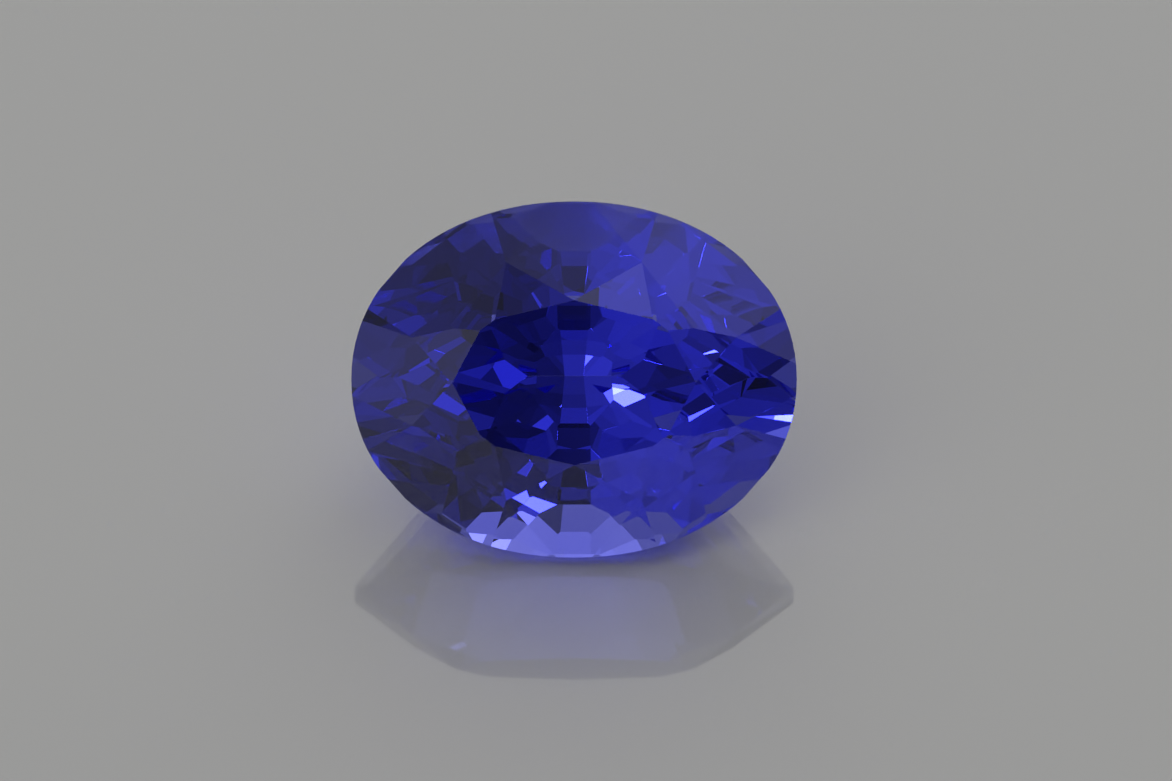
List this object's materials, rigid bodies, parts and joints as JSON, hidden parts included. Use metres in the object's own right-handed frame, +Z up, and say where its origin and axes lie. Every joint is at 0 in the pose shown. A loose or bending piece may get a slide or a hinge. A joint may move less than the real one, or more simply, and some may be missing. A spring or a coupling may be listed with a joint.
{
  "type": "cut gemstone",
  "caption": "Oval cut violet-blue sapphire, a transparent faceted gemstone lying on a flat facet of its pavilion.",
  "frame": {"origin": "on the ground under the middle of the stone's box", "axes": "+Z up, +X along the oval's length, the table faces up and towards -Y"},
  "size_m": [0.01, 0.0062, 0.0065],
  "materials": {
    "sapphire": "polished transparent corundum, violet-blue body colour"
  },
  "bodies": {
    "root": {"sapphire": "sapphire"}
  },
  "joints": []
}
